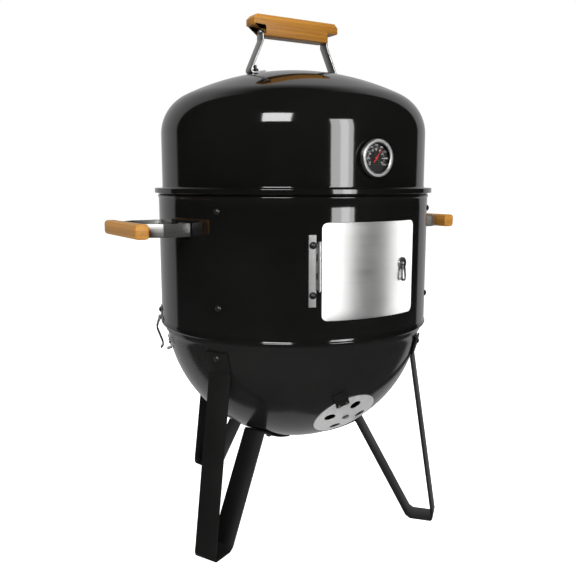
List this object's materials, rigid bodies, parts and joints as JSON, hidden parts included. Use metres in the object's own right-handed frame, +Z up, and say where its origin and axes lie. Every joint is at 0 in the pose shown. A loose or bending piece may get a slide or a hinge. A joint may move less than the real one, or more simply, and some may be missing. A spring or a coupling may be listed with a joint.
{
  "type": "vertical water smoker",
  "caption": "Upright bullet-shaped charcoal water smoker: bowl on strap legs, barrel with side door and wooden handles, domed lid with thermometer.",
  "frame": {"origin": "on the floor under the smoker's vertical axis", "axes": "+Z up, -Y towards the front with the door and the thermometer, +X to the right when facing the front"},
  "size_m": [0.5836, 0.4588, 0.794],
  "materials": {
    "black_enamel": "glossy vitreous enamel",
    "bowl_enamel": "semi-gloss enamel",
    "leg_paint": "matt heat-proof paint",
    "zinc_steel": "zinc-plated, satin",
    "stainless": "brushed",
    "aluminium": "satin",
    "chrome_wire": "bright plated",
    "black_bolt": "blackened steel",
    "bamboo": "oiled bamboo",
    "dial_face": "black face, white scale",
    "needle_red": "red lacquer",
    "clear_glass": "clear, polished"
  },
  "bodies": {
    "bowl": {"bowl_shell": "bowl_enamel", "leg_left": "leg_paint", "leg_right": "leg_paint", "leg_rear": "leg_paint", "leg_bolts": "black_bolt", "leg_nuts": "zinc_steel", "damper_rivet": "zinc_steel", "clip_catches": "zinc_steel", "catch_rivets": "zinc_steel"},
    "damper": {"damper_disc": "aluminium", "damper_tab": "leg_paint", "tab_rivets": "zinc_steel"},
    "charcoal_tray": {"charcoal_grate": "zinc_steel"},
    "barrel": {"barrel_shell": "black_enamel", "upper_bracket_left": "zinc_steel", "upper_bracket_right": "zinc_steel", "upper_bracket_rear": "zinc_steel", "lower_bracket_left": "zinc_steel", "lower_bracket_right": "zinc_steel", "lower_bracket_rear": "zinc_steel", "bracket_bolts": "black_bolt", "hinge_leaf": "stainless", "hinge_pin": "stainless", "hinge_bolts": "black_bolt", "handle_strap_left": "stainless", "handle_strap_right": "stainless", "side_grip_left": "bamboo", "side_grip_right": "bamboo", "side_grip_screws": "zinc_steel", "handle_bolts": "black_bolt", "clip_brackets": "zinc_steel", "clip_bolts": "black_bolt", "barrel_nuts": "zinc_steel"},
    "left_clip": {"clip_wire_left": "zinc_steel"},
    "right_clip": {"clip_wire_right": "zinc_steel"},
    "door": {"door_panel": "stainless", "latch_washer": "zinc_steel"},
    "door_latch": {"latch_lever": "zinc_steel", "latch_cam": "zinc_steel"},
    "cooking_grate_upper": {"upper_grate": "chrome_wire"},
    "pan": {"water_pan": "black_enamel"},
    "cooking_grate_lower": {"lower_grate": "chrome_wire"},
    "lid": {"lid_shell": "black_enamel", "lid_strap_left": "stainless", "lid_strap_right": "stainless", "lid_grip": "bamboo", "lid_grip_screws": "zinc_steel", "lid_bolts": "black_bolt", "lid_nuts": "black_bolt", "gauge_case": "black_bolt", "gauge_bezel": "stainless", "gauge_dial": "dial_face", "gauge_lens": "clear_glass", "gauge_stem": "stainless", "gauge_nut": "zinc_steel"},
    "needle": {"gauge_needle": "needle_red"}
  },
  "joints": [
    {"name": "barrel_lift_off", "type": "slide", "parent": "bowl", "child": "barrel", "axis": [0, 0, 1], "range_m": [0, 0.2]},
    {"name": "lid_lift_off", "type": "slide", "parent": "barrel", "child": "lid", "axis": [0, 0, 1], "range_m": [0, 0.25]},
    {"name": "door_swing", "type": "hinge", "parent": "barrel", "child": "door", "pos_m": [-0.08361, -0.20284, 0.43], "axis": [0, 0, -1], "range_deg": [0, 110]},
    {"name": "door_latch_turn", "type": "hinge", "parent": "door", "child": "door_latch", "pos_m": [0.05348, -0.20979, 0.428], "axis": [0.247, -0.969, 0], "range_deg": [0, 90]},
    {"name": "damper_turn", "type": "hinge", "parent": "bowl", "child": "damper", "pos_m": [0, -0.15088, 0.19182], "axis": [0, -0.7254, -0.6884], "range_deg": [0, 45]},
    {"name": "left_clip_swing", "type": "hinge", "parent": "barrel", "child": "left_clip", "pos_m": [-0.20523, 0.0747, 0.3285], "axis": [0.342, 0.9397, 0], "range_deg": [0, 100]},
    {"name": "right_clip_swing", "type": "hinge", "parent": "barrel", "child": "right_clip", "pos_m": [0.20523, 0.0747, 0.3285], "axis": [0.342, -0.9397, 0], "range_deg": [0, 100]},
    {"name": "upper_grate_lift", "type": "slide", "parent": "barrel", "child": "cooking_grate_upper", "axis": [0, 0, 1], "range_m": [0, 0.045]},
    {"name": "pan_lift", "type": "slide", "parent": "barrel", "child": "pan", "axis": [0, 0, 1], "range_m": [0, 0.04]},
    {"name": "lower_grate_lift", "type": "slide", "parent": "pan", "child": "cooking_grate_lower", "axis": [0, 0, 1], "range_m": [0, 0.06]},
    {"name": "charcoal_grate_lift", "type": "slide", "parent": "bowl", "child": "charcoal_tray", "axis": [0, 0, 1], "range_m": [0, 0.06]},
    {"name": "gauge_needle_turn", "type": "hinge", "parent": "lid", "child": "needle", "pos_m": [0, -0.218, 0.575], "axis": [0, -1, 0], "range_deg": [-95, 165]}
  ]
}
